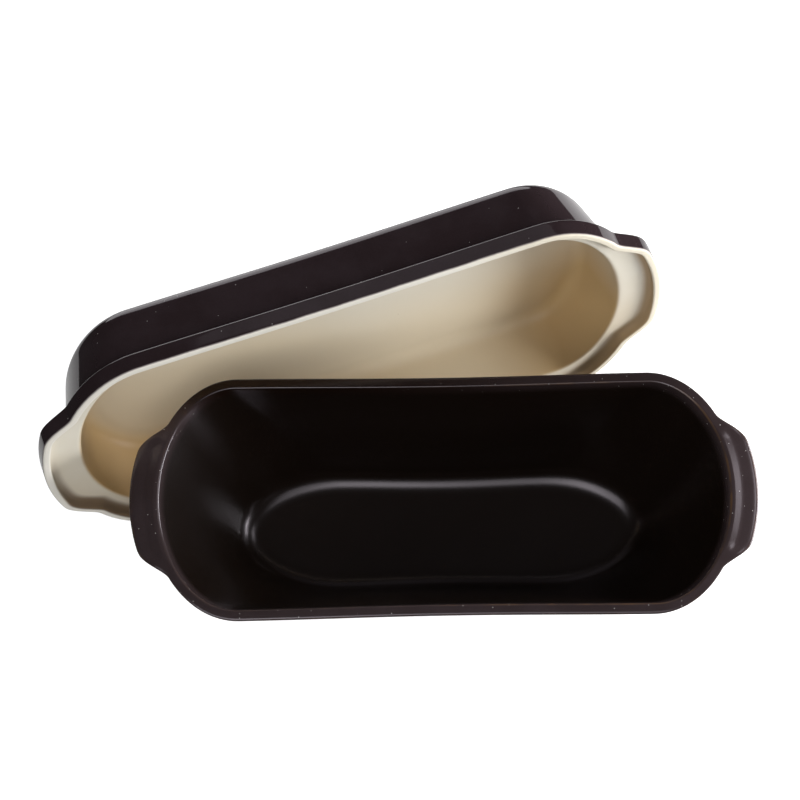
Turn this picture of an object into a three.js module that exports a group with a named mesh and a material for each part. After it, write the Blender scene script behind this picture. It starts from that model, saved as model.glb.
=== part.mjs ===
// A long lidded loaf baker in glazed stoneware: a deep base with a tab at each end, and its lid, taken off
// and lying on its side against the back of the base.
// Millimetres, +Z up, +X along the base. The origin is on the table, under the middle of the base.
import * as THREE from "three";

// Plan of the lid's skirt. Every other outline is set in from it.
const LENGTH = 395; // over both tabs
const WIDTH = 166.5;
const END_REACH = 61; // length of each rounded end, tab left out
const TAB_REACH = 11.5; // how far a tab stands out from the rounded end
const TAB_CREST = 66; // width of a tab where it has its full reach
const TAB_ROOT = 106.5; // width of a tab where it runs into the rounded end
const TAB_EASE = 1.4; // above 1, a tab's corner is rounder than its root
const SIDE_BOW = 1.2; // how far the long sides draw in at their middle, as clay does when it dries

// Lid, measured with its skirt down.
const LID_HEIGHT = 56;
const LID_TOP_INSET = 12.85; // from the skirt to the corner of wall and top
const LID_TOP_ROUND = 10;
const LID_END_DRAW = 4.4; // how much further the two ends lean in, up to the top
const LID_CROWN = 1.6; // rise of the top from its edge to its middle
const CROWN_INSET = 40; // from the skirt to the level middle of the top
const LID_WALL = 6.2; // level distance from the wall's face to the cavity, just under the top
const LID_ROOF = 6.5; // thickness of the top
const CAVITY_ROUND = 10;
const BAND_HEIGHT = 12.3; // the skirt's outer band
const BAND_STEP = 6.5; // how far the wall stands back from the band
const BAND_ROUND = 2.2;
const BAND_FALL = 0.9; // slope of the step, so that water runs off
const SKIRT_WALL = 4.9;
const SKIRT_ROUND = 1.5;
const SEAT_DEPTH = 6.5; // from the skirt's edge up to the seat that rests on the base's rim
const SEAT_HOLLOW = 4.4; // radius where the skirt runs into the seat
const SEAT_RISE = 0.8; // the seat rises towards the cavity
const CAVITY_EDGE_ROUND = 2;

// Base.
const BASE_HEIGHT = 95;
const SKIRT_CLEARANCE = 2.6; // between the base's rim and the inside of the lid's skirt
const RIM_WIDTH = 6.9;
const RIM_ROUND = 1.7;
const RIM_FALL = 0.7; // the rim falls away from the opening
const WALL_DRAW = 35.6; // how far the wall leans in from rim to foot
const BASE_END_DRAW = 18; // how much further the two ends lean in
const BASE_END_SWEEP = 52; // how much longer the rounded ends grow towards the foot
const BASE_WALL = 7.2; // level thickness of the wall
const FOOT_ROUND = 20;
const FOOT_LEVEL = 28; // width of the level middle of the foot
const FLOOR = 7.5; // thickness of the bottom
const FLOOR_ROUND = 15;
const FLOOR_LEVEL = 28; // width of the level middle of the floor
const TAB_DEPTH = 11; // thickness of a tab at its edge
const TAB_HOLLOW = 17; // height over which the underside of a tab runs into the wall
const TAB_DIP = 1; // how far the top of a tab lies below the rim
const BEAD_WIDTH = 3.3; // the rim's raised bead, beside a tab
const DIP_WIDTH = 3.2; // from the bead down to the top of a tab

// Where the lid lies.
const LID_YAW = THREE.MathUtils.degToRad(17.6);
const LID_SHIFT = -26.5; // along the lid's own length, from the middle of the base
const LID_GAP = 0.5; // between the plane of the lid's open face and the foot of the base
const TABLE_GAP = 0.3; // under the lid

// Fineness of the surface.
const CREST_STEPS = 3;
const FLANK_STEPS = 5;
const END_STEPS = 7;
const SIDE_STEPS = 8;
const ROUND_STEPS = 4;
const HOLLOW_STEPS = 6;
const ROUND_ROOM = 0.98; // the most of an edge that the rounds at its ends take up

const RIM_INSET = SKIRT_WALL + SKIRT_CLEARANCE;
const SEAT_EDGE = RIM_INSET + RIM_WIDTH;
const TAB_TOP = RIM_WIDTH + TAB_REACH; // from the opening to the edge of a tab
const BEAD_TAB = BEAD_WIDTH / TAB_TOP; // shares of a tab's reach where its dip starts and ends
const DIP_TAB = (BEAD_WIDTH + DIP_WIDTH) / TAB_TOP;
const HALF_WIDTH = WIDTH / 2;
const HALF_SIDE = LENGTH / 2 - TAB_REACH - END_REACH;

// Evenly spaced numbers after `from`, up to and including `to`.
function spread(from, to, steps) {
  return Array.from({ length: steps }, (_, k) => THREE.MathUtils.lerp(from, to, (k + 1) / steps));
}

// One level outline, anticlockwise from the middle of the +X end: nearly straight sides and elliptical
// ends, `inset` in from the skirt all round. The tabs stand out by the share `tab` of their reach, and
// each point's z is that share. The ends come in by `draw` more, and their round runs on along the sides
// by `sweep`.
function outline({ inset, tab, draw, sweep }) {
  const halfWidth = HALF_WIDTH - inset;
  const reach = END_REACH - inset + sweep;
  const side = HALF_SIDE - draw - sweep;
  const crest = (TAB_CREST / WIDTH) * halfWidth;
  const root = (TAB_ROOT / WIDTH) * halfWidth;
  const endPoint = (y) => {
    const round = reach * Math.sqrt(Math.max(0, 1 - (y / halfWidth) ** 2));
    const past = THREE.MathUtils.clamp((y - crest) / (root - crest), 0, 1);
    const stand = tab * (1 - THREE.MathUtils.smoothstep(past ** TAB_EASE, 0, 1));
    return new THREE.Vector3(side + round + TAB_REACH * stand, y, stand);
  };
  const rootAngle = Math.asin(root / halfWidth);
  const onward = spread(rootAngle, Math.PI / 2, END_STEPS).map((angle) => halfWidth * Math.sin(angle));
  const across = [0, ...spread(0, crest, CREST_STEPS), ...spread(crest, root, FLANK_STEPS), ...onward];
  const bow = (x) => SIDE_BOW * (1 - (x / side) ** 2) ** 2;
  const along = spread(side, 0, SIDE_STEPS / 2).map((x) => new THREE.Vector3(x, halfWidth - bow(x), 0));
  const quarter = [...across.map(endPoint), ...along];
  const mirrored = quarter.slice(0, -1).reverse().map(({ x, y, z }) => new THREE.Vector3(-x, y, z));
  const half = [...quarter, ...mirrored];
  const lower = half.slice(1, -1).reverse().map(({ x, y, z }) => new THREE.Vector3(x, -y, z));
  return [...half, ...lower];
}

// A corner of a section: its inset and height, the share of the tabs' reach there, and the radius that
// rounds it.
function corner(inset, height, { tab = 0, radius = 0 } = {}) {
  return { at: new THREE.Vector3(inset, height, tab), radius };
}

// The section through its corners, rounded, as points of inset, height and tab share. Where an edge
// has a round at both ends, each takes up no more than half of it.
function roundedSection(corners) {
  const path = new THREE.CurvePath();
  const level = ({ x, y }) => new THREE.Vector2(x, y);
  const room = (edge, other) => edge.length() * (other.radius > 0 ? ROUND_ROOM / 2 : ROUND_ROOM);
  let from = corners[0].at;
  for (let k = 1; k < corners.length; k++) {
    const { at, radius } = corners[k];
    if (radius === 0) {
      path.add(new THREE.LineCurve3(from, at));
      from = at;
      continue;
    }
    const last = corners[k - 1];
    const next = corners[k + 1];
    const toLast = level(last.at).sub(level(at));
    const toNext = level(next.at).sub(level(at));
    const tangent = radius / Math.tan(toLast.angleTo(toNext) / 2);
    const cut = Math.min(tangent, room(toLast, last), room(toNext, next));
    const start = at.clone().lerp(last.at, cut / toLast.length());
    const end = at.clone().lerp(next.at, cut / toNext.length());
    path.add(new THREE.LineCurve3(from, start));
    path.add(new THREE.QuadraticBezierCurve3(start, at, end));
    from = end;
  }
  return path.getPoints(ROUND_STEPS);
}

// A closed shell: one outline for each point of the section, joined ring to ring and capped at both
// ends. The tabs lie lower by `dip`.
function loft(section, endsAt, dip = 0) {
  const rings = section.map(({ x, y, z }) => outline({ inset: x, tab: z, ...endsAt(y) }));
  const count = rings[0].length;
  const dipAt = (stand) => dip * THREE.MathUtils.smoothstep(stand, BEAD_TAB, DIP_TAB);
  const raise = (ring, height) => ring.flatMap(({ x, y, z }) => [x, y, height - dipAt(z)]);
  const positions = rings.flatMap((ring, k) => raise(ring, section[k].y));
  const index = [];
  for (let k = 0; k + 1 < rings.length; k++) {
    for (let i = 0; i < count; i++) {
      const a = k * count + i;
      const b = k * count + ((i + 1) % count);
      index.push(a, b, b + count, a, b + count, a + count);
    }
  }
  const lastRing = (rings.length - 1) * count;
  for (const [a, b, c] of THREE.ShapeUtils.triangulateShape(rings[0], [])) {
    index.push(c, b, a);
  }
  for (const [a, b, c] of THREE.ShapeUtils.triangulateShape(rings.at(-1), [])) {
    index.push(lastRing + a, lastRing + b, lastRing + c);
  }
  const geometry = new THREE.BufferGeometry();
  geometry.setAttribute("position", new THREE.Float32BufferAttribute(positions, 3));
  geometry.setIndex(index);
  geometry.computeVertexNormals();
  return geometry;
}

// The base, from the middle of its foot up the outside, over the rim and down to the floor of its cavity.
function baseSection() {
  const wallAt = (height) => RIM_INSET + WALL_DRAW * (1 - height / BASE_HEIGHT);
  const rimEdge = BASE_HEIGHT - RIM_FALL;
  const tabEdge = rimEdge - TAB_DEPTH;
  const tabFoot = tabEdge - TAB_HOLLOW;
  const underTab = spread(tabFoot, tabEdge, HOLLOW_STEPS).map((height) =>
    corner(wallAt(height), height, { tab: THREE.MathUtils.smoothstep(height, tabFoot, tabEdge) }),
  );
  const overRim = [1 - DIP_TAB, 1 - (BEAD_TAB + DIP_TAB) / 2, 1 - BEAD_TAB].map((share) => {
    const inset = THREE.MathUtils.lerp(RIM_INSET, SEAT_EDGE, share);
    return corner(inset, THREE.MathUtils.lerp(rimEdge, BASE_HEIGHT, share), { tab: 1 - share });
  });
  return roundedSection([
    corner((WIDTH - FOOT_LEVEL) / 2, 0),
    corner(wallAt(0), 0, { radius: FOOT_ROUND }),
    corner(wallAt(tabFoot), tabFoot),
    ...underTab,
    corner(RIM_INSET, rimEdge, { tab: 1, radius: RIM_ROUND }),
    ...overRim,
    corner(SEAT_EDGE, BASE_HEIGHT, { radius: RIM_ROUND }),
    corner(wallAt(FLOOR) + BASE_WALL, FLOOR, { radius: FLOOR_ROUND }),
    corner((WIDTH - FLOOR_LEVEL) / 2, FLOOR),
  ]);
}

// The lid, skirt down, from the roof of its cavity to the seat, under the skirt and up the outside to
// its top.
function lidSection() {
  return roundedSection([
    corner(CROWN_INSET, LID_HEIGHT - LID_ROOF),
    corner(LID_TOP_INSET + LID_WALL, LID_HEIGHT - LID_ROOF, { radius: CAVITY_ROUND }),
    corner(SEAT_EDGE, SEAT_DEPTH + SEAT_RISE, { radius: CAVITY_EDGE_ROUND }),
    corner(SKIRT_WALL, SEAT_DEPTH, { tab: 1, radius: SEAT_HOLLOW }),
    corner(SKIRT_WALL, 0, { tab: 1, radius: SKIRT_ROUND }),
    corner(0, 0, { tab: 1, radius: SKIRT_ROUND }),
    corner(0, BAND_HEIGHT, { tab: 1, radius: BAND_ROUND }),
    corner(BAND_STEP, BAND_HEIGHT + BAND_FALL, { radius: BAND_ROUND }),
    corner(LID_TOP_INSET, LID_HEIGHT, { radius: LID_TOP_ROUND }),
    corner(CROWN_INSET, LID_HEIGHT + LID_CROWN),
  ]);
}

// How far a point of the lid's section hangs down when the lid lies on its side, its open face leaning back.
function hang({ x, y }, lean) {
  return (HALF_WIDTH - x) * Math.cos(lean) + y * Math.sin(lean);
}

function lowestPoint(section, lean) {
  return section.reduce((low, point) => (hang(point, lean) > hang(low, lean) ? point : low));
}

// The lean at which the skirt's band and the round of the top lie on the table together, found by halving.
function restingLean(section) {
  let onBand = 0;
  let onTop = Math.PI / 2;
  for (let halving = 0; halving < 40; halving++) {
    const lean = (onBand + onTop) / 2;
    if (lowestPoint(section, lean).y < LID_HEIGHT / 2) {
      onBand = lean;
    } else {
      onTop = lean;
    }
  }
  return onBand;
}

// A section from its start up to the point where it first passes a height.
function sectionBelow(section, height) {
  const above = section.findIndex(({ y }) => y > height);
  const last = section[above - 1];
  const next = section[above];
  return [...section.slice(0, above), last.clone().lerp(next, (height - last.y) / (next.y - last.y))];
}

// How far a geometry reaches along a direction.
function reachAlong(geometry, direction) {
  const vertices = geometry.getAttribute("position");
  const vertex = new THREE.Vector3();
  let reach = -Infinity;
  for (let k = 0; k < vertices.count; k++) {
    reach = Math.max(reach, vertex.fromBufferAttribute(vertices, k).dot(direction));
  }
  return reach;
}

function glaze(colour, roughness) {
  return new THREE.MeshStandardMaterial({ color: colour, roughness, metalness: 0 });
}

// The base's ends come in towards its foot, and the lid's ends towards its top.
function baseEnds(height) {
  const down = 1 - height / BASE_HEIGHT;
  return { draw: BASE_END_DRAW * down, sweep: BASE_END_SWEEP * down };
}

function lidEnds(height) {
  const up = (height - BAND_HEIGHT) / (LID_HEIGHT - BAND_HEIGHT);
  return { draw: LID_END_DRAW * Math.max(0, up), sweep: 0 };
}

const baseProfile = baseSection();
const base = new THREE.Mesh(loft(baseProfile, baseEnds, TAB_DIP), glaze(0x2c2529, 0.3));
base.name = "base";

const lidProfile = lidSection();
const lid = new THREE.Mesh(loft(lidProfile, lidEnds), glaze(0x2a2227, 0.25));
lid.name = "lid";

// The lid's open face leans back from the base. Its lower lip comes up to the foot of the base, and the
// rim of the base leans out over that lip.
const lean = restingLean(lidProfile);
const sideways = new THREE.Vector3(Math.cos(LID_YAW), Math.sin(LID_YAW), 0);
const backwards = new THREE.Vector3(-Math.sin(LID_YAW), Math.cos(LID_YAW), 0);
const intoLid = backwards.clone().multiplyScalar(Math.cos(lean)).setZ(-Math.sin(lean));
const rise = hang(lowestPoint(lidProfile, lean), lean) + TABLE_GAP;
const lipTop = rise - (HALF_WIDTH - SKIRT_WALL) * Math.cos(lean);
const footOfBase = loft(sectionBelow(baseProfile, lipTop), baseEnds);
const toFace = reachAlong(footOfBase, intoLid) + LID_GAP;
const depth = (toFace + rise * Math.sin(lean)) / Math.cos(lean);

lid.rotation.x = -(Math.PI / 2 + lean);
const lidPlace = new THREE.Group();
lidPlace.rotation.z = LID_YAW;
lidPlace.position.copy(sideways).multiplyScalar(LID_SHIFT).addScaledVector(backwards, depth).setZ(rise);
lidPlace.add(lid);

const baker = new THREE.Group();
baker.add(base, lidPlace);

export default baker;
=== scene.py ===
# %% [markdown]
# # A lidded loaf baker in glazed stoneware
#
# The baker is two castings: a deep trough, the base, and a shallow lid whose skirt fits over the base's
# rim. Both have a flaring tab at each end. The lid has been lifted off and lies on its side behind the base.
#
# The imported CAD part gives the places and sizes. Here each casting is made again as a finer surface, glazed,
# lit and seen through a camera. Loading the part comes first, and its box is kept, because the finer
# surfaces have to stay inside it.

# %% Load the part
import math

import bpy
import numpy as np
from mathutils import Matrix, Vector


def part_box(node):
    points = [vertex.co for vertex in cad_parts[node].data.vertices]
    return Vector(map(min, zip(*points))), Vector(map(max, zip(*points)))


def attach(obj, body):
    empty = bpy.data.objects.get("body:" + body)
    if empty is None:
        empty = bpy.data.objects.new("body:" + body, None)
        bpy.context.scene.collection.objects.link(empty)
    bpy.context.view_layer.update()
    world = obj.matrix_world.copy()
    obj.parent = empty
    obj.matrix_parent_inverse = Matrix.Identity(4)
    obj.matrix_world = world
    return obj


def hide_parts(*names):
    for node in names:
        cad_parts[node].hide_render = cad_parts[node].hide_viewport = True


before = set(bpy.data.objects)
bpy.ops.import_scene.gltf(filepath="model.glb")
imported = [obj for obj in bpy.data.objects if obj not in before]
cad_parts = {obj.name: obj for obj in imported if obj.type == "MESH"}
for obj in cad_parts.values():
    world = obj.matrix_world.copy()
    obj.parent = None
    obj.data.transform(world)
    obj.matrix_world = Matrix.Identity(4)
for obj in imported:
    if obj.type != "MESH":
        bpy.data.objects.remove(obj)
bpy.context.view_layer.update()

# %% [markdown]
# ## The outline both castings share
#
# Seen from above, the rim of the base and the skirt of the lid are the same shape: two long sides, two
# rounded ends that are parts of an ellipse, and a tab standing out of the middle of each end. It could be
# drawn as a curve and bevelled, but every height of the casting needs its own version of it, a little
# further in, with or without the tabs. A formula in arrays gives all of them at once.

# %% Sizes of the outline, in millimetres
LENGTH = 395.0
WIDTH = 166.5
END_REACH = 61.0
TAB_REACH = 11.5
TAB_CREST = 66.0
TAB_ROOT = 106.5
TAB_EASE = 1.4
SIDE_BOW = 1.2
END_STEPS = 90
SIDE_STEPS = 12
HALF_WIDTH = WIDTH / 2
HALF_SIDE = LENGTH / 2 - TAB_REACH - END_REACH
print(f"the long sides are {2 * HALF_SIDE:.1f} mm and draw in by {SIDE_BOW} mm")


# %% The outline as a formula
def smooth_step(value, low, high):
    """From 0 at low to 1 at high, as 3t^2 - 2t^3 of the share t in between."""
    share = np.clip((value - low) / (high - low), 0, 1)
    return share * share * (3 - 2 * share)


def outlines(inset, tab, draw, sweep):
    """One outline in each row, anticlockwise from the middle of the +X end, and how far the tab stands out.

    On the rounded end, at the angle a: y = w sin a and x = side + reach cos a + TAB_REACH stand, where w is
    half the width less the inset, and stand falls from the tab share to nothing between the tab's crest and
    its root, as a smooth step of the share in between raised to TAB_EASE. On the long side, at the share u
    of its half length, y = w - SIDE_BOW (1 - u^2)^2, because clay draws in a little as it dries. The other
    three quarters are mirror images.
    """
    inset, tab, draw, sweep = (np.asarray(value, float)[:, None] for value in (inset, tab, draw, sweep))
    angle = np.radians(np.linspace(0, 90, END_STEPS + 1))
    along = 1 - np.linspace(0, 1, SIDE_STEPS + 1)[None, 1:]
    half_width = HALF_WIDTH - inset
    side = HALF_SIDE - draw - sweep
    past = np.clip((np.sin(angle) * WIDTH - TAB_CREST) / (TAB_ROOT - TAB_CREST), 0, 1)
    stand = tab * (1 - smooth_step(past**TAB_EASE, 0, 1))
    end_x = side + (END_REACH - inset + sweep) * np.cos(angle) + TAB_REACH * stand
    end_y = half_width * np.sin(angle)
    x = np.hstack([end_x, side * along])
    y = np.hstack([end_y, half_width - SIDE_BOW * (1 - along**2)**2])
    stand = np.hstack([stand, 0 * side * along])
    left = slice(-2, None, -1)
    x = np.hstack([x, -x[:, left]])
    y = np.hstack([y, y[:, left]])
    stand = np.hstack([stand, stand[:, left]])
    front = slice(-2, 0, -1)
    return np.hstack([x, x[:, front]]), np.hstack([y, -y[:, front]]), np.hstack([stand, stand[:, front]])


ring_length = outlines([0], [1], [0], [0])[0].shape[1]
print(f"each outline has {ring_length} points")

# %% [markdown]
# ## The section of a wall
#
# A potter thinks of such a pot in section: the line that a saw cut through the wall would show, with every
# corner rounded, because glaze runs off a sharp edge. The section is a list of corners. Each has an inset
# from the skirt, a height, the share of the tab's reach there and a radius. Between the corners the line is
# straight, and a round is a quadratic curve from one tangent point to the other. A Bevel modifier could
# round the edges too, but then the shader would not know how far it is from an edge, and the glaze needs
# that.

# %% Round the corners of a section
RUN_STEP = 2.2
ROUND_STEPS = 10
ROUND_ROOM = 0.98


def run(start, end):
    """Evenly spaced points on the straight line after start, up to end, about RUN_STEP apart on the tab."""
    reach = np.linalg.norm((end - start) * (1, 1, TAB_REACH))
    share = np.linspace(0, 1, max(1, math.ceil(reach / RUN_STEP)) + 1)[1:, None]
    return start + share * (end - start)


def rounded_section(corners):
    """Points of inset, height and tab share along the rounded line, and each named round's middle row.

    A round starts and ends at radius / tan(half the corner's angle) from its corner, or less where an edge
    is short. At the share t it is (1-t)^2 start + 2t(1-t) corner + t^2 end.
    """
    at = np.array([corner[:3] for corner in corners], float)
    radius = np.array([corner[3] if len(corner) > 3 else 0 for corner in corners])
    edge = np.diff(at[:, :2], axis=0)
    length = np.linalg.norm(edge, axis=1)
    points, marks, here = [at[:1]], {}, at[0]
    for k in range(1, len(at)):
        if radius[k] == 0:
            points.append(run(here, at[k]))
            here = at[k]
            continue
        turn = np.arccos(np.clip(-edge[k - 1] @ edge[k] / (length[k - 1] * length[k]), -1, 1))
        room = np.where(radius[[k - 1, k + 1]] > 0, ROUND_ROOM / 2, ROUND_ROOM) * length[k - 1:k + 1]
        cut = min(radius[k] / math.tan(turn / 2), *room)
        start = at[k] + (at[k - 1] - at[k]) * cut / length[k - 1]
        end = at[k] + (at[k + 1] - at[k]) * cut / length[k]
        t = np.linspace(0, 1, ROUND_STEPS + 1)[1:, None]
        points += [run(here, start), (1 - t)**2 * start + 2 * t * (1 - t) * at[k] + t**2 * end]
        if len(corners[k]) > 4:
            marks[corners[k][4]] = sum(map(len, points)) - ROUND_STEPS // 2 - 1
        here = end
    return np.vstack(points), marks


print(f"a round is {ROUND_STEPS} steps, and a straight run has a point about every {RUN_STEP} mm")

# %% [markdown]
# ## From a section to a shell
#
# A loft carries the outline along the section: each point of the section is one ring, and neighbouring rings
# are joined by four-sided faces. The two ends of the section are closed by strips that run straight across
# from one long side to the other, so the shell is one closed skin with no hole. The lengths walked along
# each column of the grid are kept as attributes, measured in millimetres from the edges that the glaze
# cares about.


# %% Loft a section
DIP_FADE = 0.5


def loft(section, ends, dip, bead, dip_end):
    """A grid of points, one ring for each point of the section, in millimetres.

    A ring is the outline for the section's inset and tab share. Its height is the section's, less a dip that
    sets in smoothly where the tab stands out further than the rim's bead, and fades out along the tab where
    even its outer edge falls back.
    """
    inset, height, tab = section.T
    x, y, stand = outlines(inset, tab, *ends(height))
    full = outlines([0], [1], [0], [0])[2]
    sunk = dip * smooth_step(stand, bead, dip_end) * smooth_step(full, DIP_FADE, 1)
    return np.stack([x, y, height[:, None] - sunk], axis=-1)


def walked(grid, row):
    """Length along each column of the grid, from the given row: negative before it, positive after it."""
    steps = np.linalg.norm(np.diff(grid, axis=0), axis=2)
    length = np.vstack([np.zeros(grid.shape[1]), np.cumsum(steps, axis=0)])
    return length - length[row]


def shell_faces(rings, count):
    """Corner numbers of the faces: quads from ring to ring, and strips across the first and last ring."""
    k, i = np.meshgrid(np.arange(rings - 1), np.arange(count), indexing="ij")
    a, b = k * count + i, k * count + (i + 1) % count
    sides = np.stack([a, b, b + count, a + count], axis=-1).reshape(-1, 4)
    i = np.arange(1, count // 2 - 1)
    strips = np.stack([i, i + 1, count - i - 1, count - i], axis=-1)
    half = count // 2
    tips = np.array([[0, 1, count - 1], [half - 1, half, half + 1]])
    last = (rings - 1) * count
    return [sides, strips[:, ::-1], strips + last, tips[:, ::-1], tips + last]


# %% Put a surface into a mesh
def fitted(points, node):
    """The points about the middle of the node's CAD box, a hair smaller where they stand out of it."""
    box = np.array(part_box(node)) * 1000
    points = points - (points.min(axis=0) + points.max(axis=0)) / 2
    fit = min(1, (np.ptp(box, axis=0) / np.ptp(points, axis=0)).min())
    print(f"{node} fitted by {fit:.5f}")
    return points * fit + box.mean(axis=0)


def glazed_piece(name, points, faces, attributes):
    """A mesh object at the origin, in metres, smooth all over, with one number per point and attribute."""
    mesh = bpy.data.meshes.new(name)
    corners = np.concatenate([block.ravel() for block in faces])
    sizes = np.concatenate([np.full(len(block), block.shape[1]) for block in faces])
    mesh.vertices.add(len(points))
    mesh.vertices.foreach_set("co", (points / 1000).astype(np.float32).ravel())
    mesh.loops.add(len(corners))
    mesh.loops.foreach_set("vertex_index", corners.astype(np.int32))
    mesh.polygons.add(len(sizes))
    mesh.polygons.foreach_set("loop_start", (np.cumsum(sizes) - sizes).astype(np.int32))
    mesh.polygons.foreach_set("use_smooth", np.ones(len(sizes), bool))
    for label, values in attributes.items():
        numbers = mesh.attributes.new(label, "FLOAT", "POINT").data
        numbers.foreach_set("value", values.astype(np.float32).ravel())
    mesh.update(calc_edges=True)
    mesh.validate()
    piece = bpy.data.objects.new(name, mesh)
    bpy.context.scene.collection.objects.link(piece)
    print(f"{name}: {len(points)} points, {int((sizes - 2).sum())} triangles")
    return piece


# %% [markdown]
# ## The base
#
# The base is the deep trough. Its wall leans in towards the foot, and its ends lean in further and grow
# rounder on the way down, which lets it leave its mould. Under each tab the wall swells out in a soft
# hollow. On top, the rim is a narrow bead all round, and the tab lies one millimetre lower behind it: a
# shallow dip that catches the light as a streak and fades out towards the roots of the tab. The section runs
# from the middle of the foot up the outside, over the rim and down to the floor.

# %% Sizes of the base, in millimetres
SKIRT_WALL = 4.9
FIT_GAP = 2.6
RIM_INSET = SKIRT_WALL + FIT_GAP
RIM_WIDTH = 6.9
RIM_ROUND = 1.7
RIM_SLOPE = 0.7
SEAT_EDGE = RIM_INSET + RIM_WIDTH
BASE_HEIGHT = 95.0
RIM_EDGE = BASE_HEIGHT - RIM_SLOPE
WALL_DRAW = 35.6
BASE_END_DRAW = 18.0
BASE_END_SWEEP = 52.0
BASE_WALL = 7.2
FOOT_ROUND = 20.0
FLOOR = 7.5
FLOOR_ROUND = 15.0
LEVEL_WIDTH = 28.0
TAB_THICKNESS = 11.0
TAB_SWELL = 17.0
TAB_EDGE = RIM_EDGE - TAB_THICKNESS
TAB_FOOT = TAB_EDGE - TAB_SWELL
SWELL_STEPS = 18
TAB_DEPTH = RIM_WIDTH + TAB_REACH
TAB_DIP = 1.0
BEAD_WIDTH = 3.3
DIP_WIDTH = 6.5
BEAD_TAB = BEAD_WIDTH / TAB_DEPTH
DIP_TAB = DIP_WIDTH / TAB_DEPTH
print(f"the tab's top is {TAB_DEPTH:.1f} mm deep, its bead {BEAD_WIDTH} mm")


# %% The base's section and shell
def wall_at(height):
    """Inset of the outside of the wall: it leans in evenly from the rim to the foot."""
    return RIM_INSET + WALL_DRAW * (1 - height / BASE_HEIGHT)


def base_ends(height):
    """How far the ends come in, and how much longer their rounds grow, both evenly towards the foot."""
    down = 1 - np.clip(height / BASE_HEIGHT, 0, 1)
    return BASE_END_DRAW * down, BASE_END_SWEEP * down


under_tab = np.linspace(TAB_FOOT, TAB_EDGE, SWELL_STEPS + 1)
swelling = smooth_step(under_tab, TAB_FOOT, TAB_EDGE)
base_section, base_marks = rounded_section([
    ((WIDTH - LEVEL_WIDTH) / 2, 0, 0),
    (wall_at(0), 0, 0, FOOT_ROUND, "foot"),
    *zip(wall_at(under_tab), under_tab, swelling),
    (RIM_INSET, RIM_EDGE, 1, RIM_ROUND, "outer edge"),
    (SEAT_EDGE, BASE_HEIGHT, 0, RIM_ROUND, "inner edge"),
    (wall_at(FLOOR) + BASE_WALL, FLOOR, 0, FLOOR_ROUND, "floor"),
    ((WIDTH - LEVEL_WIDTH) / 2, FLOOR, 0),
])
base_grid = loft(base_section, base_ends, TAB_DIP, BEAD_TAB, DIP_TAB)
base_points = fitted(base_grid.reshape(-1, 3), "base")
base = glazed_piece("base_casting", base_points, shell_faces(*base_grid.shape[:2]), {
    "from_inner_edge": walked(base_grid, base_marks["inner edge"]),
    "from_outer_edge": walked(base_grid, base_marks["outer edge"]),
})

# %% [markdown]
# ## The lid
#
# The lid is a shallow cover with a stepped skirt. Inside, a level seat rests on the base's rim, and the skirt
# hangs down outside it. The tabs belong to the skirt and the seat alone, so the cavity above the seat has a
# plain rounded outline, and the seat spreads into a flat shelf at each tab. Outside, the skirt is a band that
# stands proud of the wall. The section runs from the roof of the cavity out over the seat, under the skirt
# and up the outside to the top. The top swells by a millimetre or two, as a cast lid does, so the last run
# is bent into a parabola.

# %% Sizes of the lid, in millimetres
LID_HEIGHT = 56.0
LID_TOP_INSET = 12.85
LID_TOP_ROUND = 10.0
LID_END_DRAW = 4.4
LID_CROWN = 1.6
CROWN_INSET = 40.0
LID_WALL = 6.2
ROOF_THICKNESS = 6.5
ROOF_HEIGHT = LID_HEIGHT - ROOF_THICKNESS
CAVITY_ROUND = 10.0
BAND_HEIGHT = 12.3
BAND_STEP = 6.5
BAND_SLOPE = 0.9
BAND_ROUND = 2.2
SKIRT_ROUND = 1.5
SEAT_DEPTH = 6.5
SEAT_SLOPE = 0.8
SEAT_HOLLOW = 4.4
CAVITY_EDGE_ROUND = 2.0
print(f"the lid's cavity is {ROOF_HEIGHT - SEAT_DEPTH:.1f} mm deep above the seat")


# %% The lid's section and shell
def lid_ends(height):
    """How far the ends come in, evenly from the top of the band to the lid's top."""
    up = np.clip((height - BAND_HEIGHT) / (LID_HEIGHT - BAND_HEIGHT), 0, None)
    return LID_END_DRAW * up, 0 * up


def crowned(section):
    """The lid's top as a parabola that ends level in the middle: crown (1 - (1 - u)^2) at the share u."""
    inset, height, tab = section.T.copy()
    row = np.arange(len(section))
    start = row > lid_marks["top"] + ROUND_STEPS // 2
    u = (inset - inset[start].min()) / (CROWN_INSET - inset[start].min())
    low = height[start].min()
    height[start] = low + (LID_HEIGHT + LID_CROWN - low) * (1 - (1 - u[start])**2)
    return np.stack([inset, height, tab], axis=-1)


lid_section, lid_marks = rounded_section([
    (CROWN_INSET, ROOF_HEIGHT, 0),
    (LID_TOP_INSET + LID_WALL, ROOF_HEIGHT, 0, CAVITY_ROUND, "roof"),
    (SEAT_EDGE, SEAT_DEPTH + SEAT_SLOPE, 0, CAVITY_EDGE_ROUND, "cavity edge"),
    (SKIRT_WALL, SEAT_DEPTH, 1, SEAT_HOLLOW, "seat"),
    (SKIRT_WALL, 0, 1, SKIRT_ROUND, "inner edge"),
    (0, 0, 1, SKIRT_ROUND, "outer edge"),
    (0, BAND_HEIGHT, 1, BAND_ROUND, "band edge"),
    (BAND_STEP, BAND_HEIGHT + BAND_SLOPE, 0, BAND_ROUND, "band root"),
    (LID_TOP_INSET, LID_HEIGHT, 0, LID_TOP_ROUND, "top"),
    (CROWN_INSET, LID_HEIGHT + LID_CROWN, 0),
])
lid_section = crowned(lid_section)
lid_grid = loft(lid_section, lid_ends, 0, BEAD_TAB, DIP_TAB)
print(f"the lid's grid has {lid_grid.shape[0]} rings of {lid_grid.shape[1]} points")

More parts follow.
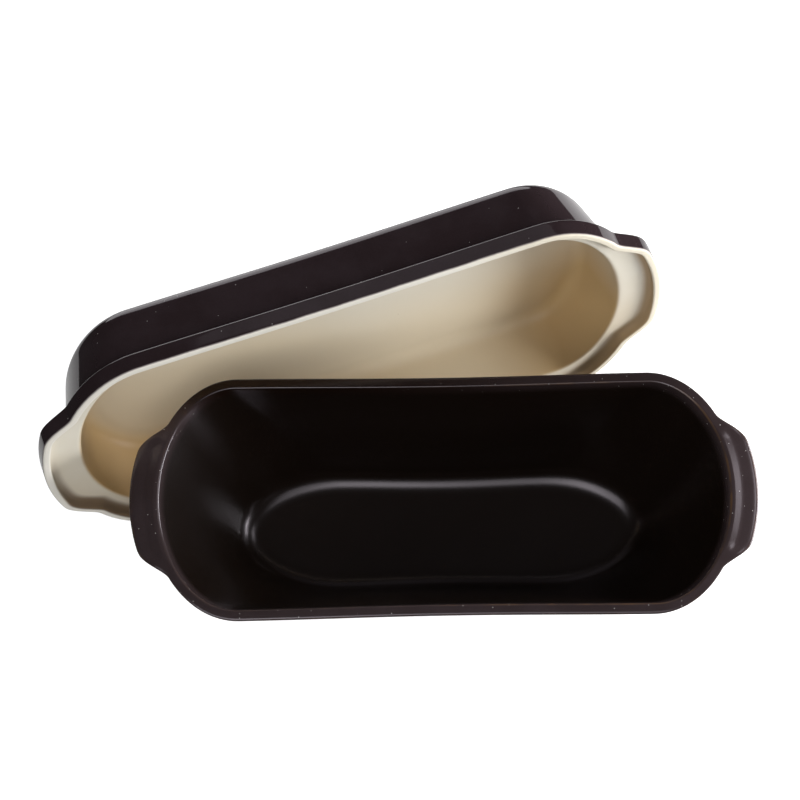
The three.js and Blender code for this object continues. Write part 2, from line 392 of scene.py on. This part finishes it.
# %% [markdown]
# ## The lid lies down
#
# The lid lies on its long side, so it touches the table with its band and with the round of its top, and its
# open face leans back. Halving the range of leans finds the one at which both touch. The turn about the
# upright axis is the photograph's. The place comes from the CAD node's box, so the fine lid sits exactly
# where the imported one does.

# %% Lean, turn and place
LID_YAW = math.radians(17.6)
HALVINGS = 40


def low_on_band(lean):
    """True while the lowest point, the largest y cos(lean) + z sin(lean), is on the band, not the top."""
    hang = (HALF_WIDTH - lid_section[:, 0]) * math.cos(lean) + lid_section[:, 1] * math.sin(lean)
    return lid_section[hang.argmax(), 1] < LID_HEIGHT / 2


on_band, on_top = 0.0, math.pi / 2
for halving in range(HALVINGS):
    middle = (on_band + on_top) / 2
    on_band, on_top = (middle, on_top) if low_on_band(middle) else (on_band, middle)
turned = Matrix.Rotation(LID_YAW, 3, "Z") @ Matrix.Rotation(-(math.pi / 2 + on_band), 3, "X")
lid_points = fitted(lid_grid.reshape(-1, 3) @ np.array(turned).T, "lid")
lid = glazed_piece("lid_casting", lid_points, shell_faces(*lid_grid.shape[:2]), {
    "from_skirt_edge": walked(lid_grid, lid_marks["outer edge"]),
    "from_cavity_edge": walked(lid_grid, lid_marks["cavity edge"]),
    "from_band_edge": walked(lid_grid, lid_marks["band edge"]),
    "along_lid": lid_grid[..., 0],
    "across_lid": lid_grid[..., 1],
})
print(f"the lid leans back by {math.degrees(on_band):.2f} degrees")

# %% [markdown]
# ## Writing shaders as sums
#
# The glazes are built from noise and from the lengths stored on the points. Written node by node that is
# long and hard to read, so one small class wraps a socket. Adding, taking away or multiplying such values
# adds the Math node, in either order, and every other node comes from one method.


# %% A value in a shader
class Value:
    """An output socket that can be used in sums. Value(tree) alone is a place to add nodes from."""

    def __init__(self, tree, socket=None):
        self.tree, self.socket = tree, socket

    def node(self, kind, settings=None, inputs=None, output=0):
        """Add a node, make its settings, and link or set each input by name or number. Gives one output."""
        node = self.tree.nodes.new("ShaderNode" + kind)
        for name, setting in (settings or {}).items():
            setattr(node, name, setting)
        for name, value in (inputs or {}).items():
            fitting = [s for s in node.inputs if not s.is_unavailable and s.name == name]
            socket = fitting[0] if fitting else node.inputs[name]
            if isinstance(value, Value):
                self.tree.links.new(value.socket, socket)
            else:
                socket.default_value = value
        outputs = [s for s in node.outputs if not s.is_unavailable]
        return Value(self.tree, outputs[output] if isinstance(output, int) else node.outputs[output])

    def math(self, operation, first, second):
        """A Math node on two values or numbers."""
        return self.node("Math", {"operation": operation}, {0: first, 1: second})

    def __add__(self, other):
        return self.math("ADD", self, other)

    def __radd__(self, other):
        return self.math("ADD", other, self)

    def __sub__(self, other):
        return self.math("SUBTRACT", self, other)

    def __rsub__(self, other):
        return self.math("SUBTRACT", other, self)

    def __mul__(self, other):
        return self.math("MULTIPLY", self, other)

    def __rmul__(self, other):
        return self.math("MULTIPLY", other, self)

    def __abs__(self):
        return self.math("ABSOLUTE", self, 0.0)

    def step(self, low, high):
        """A smooth step from 0 where the value is low to 1 where it is high."""
        return self.node("MapRange", {"interpolation_type": "SMOOTHSTEP"},
                         {"Value": self, "From Min": low, "From Max": high, "To Min": 0.0, "To Max": 1.0})

    def pick(self, off, on):
        """A colour: off where this mask is 0, on where it is 1, mixed in between."""
        return self.node("Mix", {"data_type": "RGBA"}, {"Factor": self, "A": off, "B": on})

    def blend(self, off, on):
        """A number: off where this mask is 0, on where it is 1, mixed in between."""
        return off + self * (on - off)


print("a value can be added, taken away, multiplied, stepped and used to pick a colour")

# %% [markdown]
# ## Patterns that several finishes use
#
# Noise on Object coordinates stays fixed to the clay. The scale is in patterns per metre: 40 gives clouds a
# few centimetres wide, 900 gives grain. Specks are the centres of Voronoi cells: only the cells whose random
# number is high keep theirs, so they lie scattered and not in rows. A mask is a number from 0 to 1, made by
# a smooth step, and it picks between two colours.


# %% Noise, specks and an empty glaze
SPECK_CORE = 0.6
CHANCE_WIDTH = 0.01


def place(at):
    """The point's own coordinates on the piece, in metres."""
    return at.node("TexCoord", output="Object")


def noise(at, scale, detail):
    """Clouds of numbers about 0.5."""
    return at.node("TexNoise", {}, {"Vector": place(at), "Scale": scale, "Detail": detail})


def specks(at, scale, share, size):
    """1 inside a few small round spots, 0 elsewhere: size is their radius as a share of a cell."""
    settings = {"feature": "F1"}
    inputs = {"Vector": place(at), "Scale": scale, "Randomness": 1.0}
    distance = at.node("TexVoronoi", settings, inputs, "Distance")
    chance = at.node("SeparateColor", {}, {"Color": at.node("TexVoronoi", settings, inputs, "Color")})
    return (1 - distance.step(size * SPECK_CORE, size)) * chance.step(1 - share, 1 - share + CHANCE_WIDTH)


def length_from(at, attribute):
    """A length stored on the points, in millimetres, for instance along the surface from an edge."""
    return at.node("Attribute", {"attribute_name": attribute}, {}, "Fac")


def new_glaze(name, **constants):
    """A material with one Principled shader, its unchanging numbers set on its own sockets."""
    material = bpy.data.materials.new(name)
    material.use_nodes = True
    shader = material.node_tree.nodes["Principled BSDF"]
    for socket, number in constants.items():
        shader.inputs[socket.replace("_", " ")].default_value = number
    return material, shader, Value(material.node_tree)


def wire(shader, **values):
    """Link each value to the shader's socket of that name."""
    for socket, value in values.items():
        value.tree.links.new(value.socket, shader.inputs[socket.replace("_", " ")])


print("noise, specks and lengths are ready for the glazes")

# %% [markdown]
# ## The dark glaze
#
# The glaze is nearly black, with a violet warmth where it lies thick and a brown one where it thins over an
# edge. It is glassy, so most of what one sees is the reflection of the room. The colour drifts in clouds,
# the gloss drifts with it, and a faint orange-peel bump keeps reflections from looking like plastic.


# %% Mix the dark glaze
AUBERGINE = (0.0265, 0.0165, 0.0185, 1)
AUBERGINE_THIN = (0.0360, 0.0245, 0.0280, 1)
CHARCOAL = (0.0335, 0.0228, 0.0235, 1)
CHARCOAL_THIN = (0.0430, 0.0307, 0.0330, 1)
BROWN_BREAK = (0.110, 0.060, 0.028, 1)
SPECK = (0.60, 0.57, 0.56, 1)
LILAC = (1.0, 0.92, 1.0, 1)
CLOUD_SCALE = 38
CLOUD_SHARE = 0.7
GRAIN_SCALE = 900
SPECK_SCALE = 400
SPECK_SIZE = 0.14
SPECK_STRENGTH = 0.85
WAVE_SCALE = 70
PEEL_SCALE = 420
PEEL_SHARE = 0.35
PEEL_HEIGHT = 0.0004


def dark_colour(at, thick, thin, breaks, specked):
    """Clouds of the thick and the thin glaze, a brown break where the mask says so, and pale specks."""
    clouds = noise(at, CLOUD_SCALE, 3).step(0.35, 0.70)
    grain = noise(at, GRAIN_SCALE, 2).step(0.35, 0.75)
    colour = (clouds * CLOUD_SHARE + grain * (1 - CLOUD_SHARE)).pick(thick, thin)
    colour = breaks.pick(colour, BROWN_BREAK)
    return (specks(at, SPECK_SCALE, specked, SPECK_SIZE) * SPECK_STRENGTH).pick(colour, SPECK)


def peel(at, strength):
    """A bump of orange peel on long soft waves."""
    height = noise(at, PEEL_SCALE, 1) * PEEL_SHARE + noise(at, WAVE_SCALE, 1)
    return at.node("Bump", {}, {"Strength": strength, "Distance": PEEL_HEIGHT, "Height": height})


print("dark glaze, linear colour:", AUBERGINE[:3], "on the base", CHARCOAL[:3])

# %% [markdown]
# ## Glaze on the base
#
# The base is dark inside and out. On its two rim edges the glaze thins to a brown line, broken up by noise
# and strongest at the right-hand end. The underside is left bare, because a glazed foot would stick to the
# kiln shelf: buff clay shows there, up to a wavering line where the glaze was wiped off.
#
# In the photograph, the inside and the rim at the back lie in a shade that this scene doesn't cast. A darker
# tone is painted there to stand in for it, so it belongs to the picture and not to the real glaze. The
# lengths are in millimetres along the surface, and x, y and z are in metres.

# %% Where the base's glaze thins, lies in shade and ends
EDGE_PATCHES = 60
WIPED_TO = 0.0010
WIPED_WAVER = 0.0010
WIPED_FADE = 0.0003
base_glaze, shader, at = new_glaze("dark glaze on the base", IOR=1.5, Specular_Tint=LILAC)
x, y, z = (at.node("SeparateXYZ", {}, {"Vector": place(at)}, axis) for axis in "XYZ")
inner = length_from(at, "from_inner_edge")
outer = length_from(at, "from_outer_edge")
patchy = noise(at, EDGE_PATCHES, 3).step(0.42, 0.62)
at_right = x.step(-0.08, 0.12)
inner_break = (1 - abs(inner).step(0.25, 0.95)) * patchy.blend(0.15, 0.75) * at_right.blend(0.15, 1.0)
outer_break = (1 - abs(outer).step(0.20, 0.90)) * patchy.blend(0.05, 0.35)
shaded_back = y.step(0.048, 0.068) * (1 - at_right * 0.6)
inside = inner.step(1.0, 9.0)
wavering = z + noise(at, 55, 2) * WIPED_WAVER + inner.step(0.0, 1.0)
bare = 1 - wavering.step(WIPED_TO, WIPED_TO + WIPED_FADE)
print("masks for the base's edges, back, inside and foot")

# %% Glaze the base
CLAY = (0.46, 0.36, 0.26, 1)
CLAY_DARK = (0.38, 0.29, 0.20, 1)
CLAY_GRAIN = 700
CLAY_ROUGHNESS = 0.85
SHADED_INSIDE = (0.0062, 0.0036, 0.0023, 1)
INSIDE_DULLING = 0.06
SHADED_BACK = (0.0070, 0.0030, 0.0015, 1)
BASE_SPECKED = 0.20
BASE_PEEL = 0.10
glazed = dark_colour(at, CHARCOAL, CHARCOAL_THIN, inner_break + outer_break, BASE_SPECKED)
glazed = shaded_back.pick(glazed, SHADED_BACK)
glazed = inside.pick(glazed, SHADED_INSIDE)
colour = bare.pick(glazed, noise(at, CLAY_GRAIN, 3).pick(CLAY, CLAY_DARK))
gloss = noise(at, 26, 2).blend(0.16, 0.21) + inside * INSIDE_DULLING
wire(shader, Base_Color=colour, Roughness=bare.blend(gloss, CLAY_ROUGHNESS), Normal=peel(at, BASE_PEEL))
base.data.materials.append(base_glaze)
print("base glazed, with a bare foot")

# %% [markdown]
# ## Glaze on the lid
#
# The lid was dipped twice: dark outside, cream inside. The cream runs over the edge of the skirt and ends in
# a line that wavers by a fraction of a millimetre along the outer corner. The length walked from that
# corner, with a little noise added, decides which glaze a point gets. The cream is softer in gloss than the
# dark glaze.
#
# In the photograph, shade and a warmer light lie in the cream that this scene doesn't cast. They are painted
# too: a brown of painted shade at both ends of the cavity and on its walls, more so on the side that lies
# lowest; a browner cream of painted bounce light and shade on that side and towards the left; and a dark brown
# of painted shade in the hollow of the skirt at the tabs, darkest at the left. The lip of the skirt is painted
# palest, as painted light. Each of these is a mask made from a stored length: along the lid, across it, or
# away from one of its edges.

# %% Where the two glazes meet on the lid
SKIRT_WAVER = 1.3
SEAM_MIDDLE = 0.5
SEAM_STRENGTH = 0.7
lid_glaze, shader, at = new_glaze("dark and cream glaze on the lid", IOR=1.42, Specular_Tint=LILAC)
past_edge = length_from(at, "from_skirt_edge") + (noise(at, 45, 3) - 0.5) * SKIRT_WAVER
outside = past_edge.step(0.30, 0.75)
seam = (1 - abs(past_edge - SEAM_MIDDLE).step(0.15, 0.75)) * SEAM_STRENGTH
band_edge = abs(length_from(at, "from_band_edge"))
breaks = (1 - band_edge.step(0.2, 0.9)) * noise(at, EDGE_PATCHES, 3).step(0.42, 0.62).blend(0.04, 0.22)
print("masks for the skirt's edge, its seam and the band's edge")

# %% Where shade and light are painted into the cream
STAIN_WAVER = 30
LIP_SHIFT = 2.2
along = length_from(at, "along_lid") + (noise(at, 14, 2) - 0.5) * STAIN_WAVER
to_left = 0 - along
past_cavity = length_from(at, "from_cavity_edge")
outside_cavity = past_cavity.step(-1.0, 1.5)
wall = past_cavity.step(-54, -34)
low_side = length_from(at, "across_lid").step(-25, 45)
# Painted shade: a brown at both ends of the cavity and on its walls, stronger on the low side.
painted_cavity_shade = along.step(70, 160) + to_left.step(-60, 150) * wall.blend(0.25, 1.0) + wall * 0.2
painted_cavity_shade = painted_cavity_shade * low_side.blend(0.45, 1.0)
# Painted bounce light and shade: a browner cream on the low side and towards the left.
bounce_and_shade = low_side + to_left.step(-30, 60) * 0.7
# The lip is painted paler, as light falls on it; the painted band is narrower on the low side.
lip = past_edge - low_side * LIP_SHIFT
# Painted shade in the hollow of the skirt at the tabs: at the right end, and on the low side at the left.
hollow = along.step(110, 150) + to_left.step(110, 150) * low_side
hollow = hollow * past_edge.step(-15.5, -10.5) * (1 - lip.step(-6.0, -4.5))
print("masks for the cavity's ends and walls, the hollow and the lip")

# %% Glaze the lid
CREAM = (0.81, 0.765, 0.655, 1)
CREAM_THICK = (0.76, 0.700, 0.570, 1)
# A browner cream for painted bounce light and shade in the cavity.
BOUNCE_SHADE_CREAM = (0.80, 0.700, 0.525, 1)
# A brown for painted shade.
PAINTED_SHADE_BROWN = (0.51, 0.352, 0.170, 1)
# Dark browns for painted shade in the hollows of the skirt, darker at the left.
HOLLOW_SHADE_LEFT = (0.19, 0.133, 0.082, 1)
HOLLOW_SHADE_RIGHT = (0.40, 0.285, 0.160, 1)
# A paler cream for painted light on the lip.
LIT_LIP_CREAM = (0.90, 0.865, 0.780, 1)
SEAM = (0.20, 0.165, 0.165, 1)
IRON_SPOT = (0.33, 0.24, 0.15, 1)
IRON_STRENGTH = 0.35
# Share of painted shade on the low side of the shelf and lip.
LOW_SIDE_SHADE = 0.25
LID_SPECKED = 0.05
LID_PEEL = 0.04
# Painted shade and painted bounce light in the cavity.
cavity = painted_cavity_shade.pick(bounce_and_shade.pick(CREAM, BOUNCE_SHADE_CREAM), PAINTED_SHADE_BROWN)
cream = noise(at, 22, 3).step(0.30, 0.72).pick(CREAM, CREAM_THICK)
# A little painted shade on the low side of the shelf and lip.
cream = (low_side * LOW_SIDE_SHADE).pick(cream, PAINTED_SHADE_BROWN)
cream = outside_cavity.pick(cavity, cream)
# Painted shade in the hollows of the skirt.
cream = hollow.pick(cream, along.step(-100, 100).pick(HOLLOW_SHADE_LEFT, HOLLOW_SHADE_RIGHT))
# Painted light on the lip, less of it towards the right end.
cream = lip.step(-6.5, -4.5).pick(cream, along.step(60, 150).pick(LIT_LIP_CREAM, CREAM_THICK))
cream = (specks(at, 160, 0.08, 0.07) * IRON_STRENGTH).pick(cream, IRON_SPOT)
dark = dark_colour(at, AUBERGINE, AUBERGINE_THIN, breaks, LID_SPECKED)
colour = seam.pick(outside.pick(cream, dark), SEAM)
gloss = outside.blend(noise(at, 20, 2).blend(0.42, 0.52), noise(at, 26, 2).blend(0.035, 0.07))
wire(shader, Base_Color=colour, Roughness=gloss, Normal=peel(at, LID_PEEL))
lid.data.materials.append(lid_glaze)
print("lid glazed, cream inside and dark outside")

# %% [markdown]
# ## Joining the part
#
# Each fine casting stands for its CAD node and moves with its body, so the lid can be lifted.

# %% Ride and replace
for piece, node, slot in ((base, "base", "base_glaze"), (lid, "lid", "lid_glaze")):
    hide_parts(node)
    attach(piece, node)
    print(f"{piece.name} rides on {node}")

# %% [markdown]
# ## Floor
#
# The photograph's ground is plain white. A white table top, lit only from the side, would turn grey in the
# shadows, so this one also glows, like a light table. The camera sees more of the glow than the glaze does,
# because a strong one would fill the dark glaze with pale bands. The table ends a short way behind and beside
# the baker: a glossy glaze mirrors it as a pale strip with a crisp edge, and the strip is as wide as the
# table is long.

# %% Table top
TABLE_WHITE = (0.90, 0.90, 0.90, 1)
GLOW = (0.10, 0.10, 0.10, 1)
GLOW_SEEN = (0.75, 0.75, 0.75, 1)
TABLE_LEFT, TABLE_RIGHT = -0.36, 0.72
TABLE_FRONT, TABLE_BACK = -0.52, 0.40
TABLE_GAP = 0.0002
floor_mesh = bpy.data.meshes.new("floor")
near = [(TABLE_LEFT, TABLE_FRONT, 0), (TABLE_RIGHT, TABLE_FRONT, 0)]
far = [(TABLE_RIGHT, TABLE_BACK, 0), (TABLE_LEFT, TABLE_BACK, 0)]
floor_mesh.from_pydata(near + far, [], [(0, 1, 2, 3)])
floor = bpy.data.objects.new("floor", floor_mesh)
floor.location.z = -TABLE_GAP
bpy.context.scene.collection.objects.link(floor)
white, shader, at = new_glaze("white table", Base_Color=TABLE_WHITE, Roughness=0.9, Emission_Strength=1.0)
wire(shader, Emission_Color=at.node("LightPath", output="Is Camera Ray").pick(GLOW, GLOW_SEEN))
floor_mesh.materials.append(white)
print(f"table top {TABLE_RIGHT - TABLE_LEFT:.2f} x {TABLE_BACK - TABLE_FRONT:.2f} m")

# %% [markdown]
# ## Light
#
# A dark glaze shows the lights as shapes, so where they stand matters more than how strong they are. A low
# strip at the right shines along the open lid and leaves its right-hand end in shade. A softbox above it
# draws the streak on the tab and the bright line on the left inner edge, and two at the front fill the
# shadows. Behind the lid, a low oval draws the pale line along its top edge. Three faint panels of growing
# width lie one over the other above that, so what the band mirrors of them fades out at its ends. The room is
# dark for everything but the camera, which sees a pale backdrop, so the glaze keeps its depth and no view
# ends in blackness.


# %% A softbox
BAKER_MIDDLE = Vector((-0.02, 0.05, 0.06))


def softbox(name, azimuth, elevation, distance, width, height, power, shape="RECTANGLE"):
    """A panel of light that faces the baker, at a compass azimuth (0 is +Y, 90 is +X) and an elevation.

    It stands at the middle of the baker plus distance times (sin a cos e, cos a cos e, sin e). Width is
    level and height upright, both in metres, and power is in watts.
    """
    light = bpy.data.lights.new(name, "AREA")
    light.shape = shape
    light.size = width
    light.size_y = height
    light.energy = power
    lamp = bpy.data.objects.new(name, light)
    a, e = math.radians(azimuth), math.radians(elevation)
    outwards = Vector((math.sin(a) * math.cos(e), math.cos(a) * math.cos(e), math.sin(e)))
    facing = (-outwards).to_track_quat("-Z", "Y").to_matrix().to_4x4()
    lamp.matrix_world = Matrix.Translation(BAKER_MIDDLE + distance * outwards) @ facing
    lamp.visible_camera = False
    bpy.context.scene.collection.objects.link(lamp)
    print(f"{name}: {power} W, {width} x {height} m")


print("softboxes face the middle of the baker")

# %% Lights
softbox("right strip", azimuth=85, elevation=12, distance=0.8, width=0.6, height=0.25, power=9.6)
softbox("right softbox", azimuth=70, elevation=52, distance=2.0, width=0.5, height=0.35, power=2.4)
softbox("left fill", azimuth=-150, elevation=55, distance=1.4, width=0.8, height=0.8, power=6.2)
softbox("front fill", azimuth=175, elevation=60, distance=1.4, width=0.8, height=0.8, power=3.5)
softbox("back oval", azimuth=-17, elevation=4.4, distance=0.40, width=0.56, height=0.22, power=0.80,
        shape="ELLIPSE")
for panel_width in (0.94, 1.03, 1.12):
    softbox("high back panel", azimuth=16, elevation=38.5, distance=1.1, width=panel_width, height=0.3,
            power=0.36)

# %% Room
ROOM_GREY = 0.04
BACKDROP_GREY = 0.85
world = bpy.data.worlds.new("room")
bpy.context.scene.world = world
world.use_nodes = True
room = Value(world.node_tree)
seen = room.node("LightPath", output="Is Camera Ray")
background = world.node_tree.nodes["Background"]
background.inputs["Color"].default_value = (1, 1, 1, 1)
world.node_tree.links.new(seen.blend(ROOM_GREY, BACKDROP_GREY).socket, background.inputs["Strength"])
print(f"room {ROOM_GREY}, backdrop {BACKDROP_GREY}")

# %% [markdown]
# ## Camera
#
# The camera looks down steeply from the front with a long lens. Its place was fitted to the outlines of the
# two castings in the photograph. A camera looks along its own -Z with +Y up, so its matrix has the picture's
# right, its up and the reverse of the view as columns.

# %% Camera at the photograph's angle
ELEVATION = math.radians(73.08)
AZIMUTH = math.radians(1.253)
ROLL = math.radians(0.223)
CAMERA_PLACE = Vector((-0.0388, -0.5555, 2.1183))
SENSOR_WIDTH = 36
FOCAL_WIDTHS = 4.375
ahead = math.cos(ELEVATION)
forward = Vector((math.sin(AZIMUTH) * ahead, math.cos(AZIMUTH) * ahead, -math.sin(ELEVATION)))
level = Vector((math.cos(AZIMUTH), -math.sin(AZIMUTH), 0))
upright = level.cross(forward)
right = level * math.cos(ROLL) + upright * math.sin(ROLL)
up = upright * math.cos(ROLL) - level * math.sin(ROLL)
lens = bpy.data.cameras.new("camera")
lens.sensor_width = SENSOR_WIDTH
lens.lens = FOCAL_WIDTHS * SENSOR_WIDTH
camera = bpy.data.objects.new("camera", lens)
camera.matrix_world = Matrix.Translation(CAMERA_PLACE) @ Matrix((right, up, -forward)).transposed().to_4x4()
bpy.context.scene.collection.objects.link(camera)
bpy.context.scene.camera = camera
bpy.context.scene.view_settings.view_transform = "Standard"
print(f"lens {lens.lens:.1f} mm, {math.degrees(ELEVATION):.1f} degrees above the table")

# %% [markdown]
# ## Finish
#

# %% Finish
print("the scene is built")
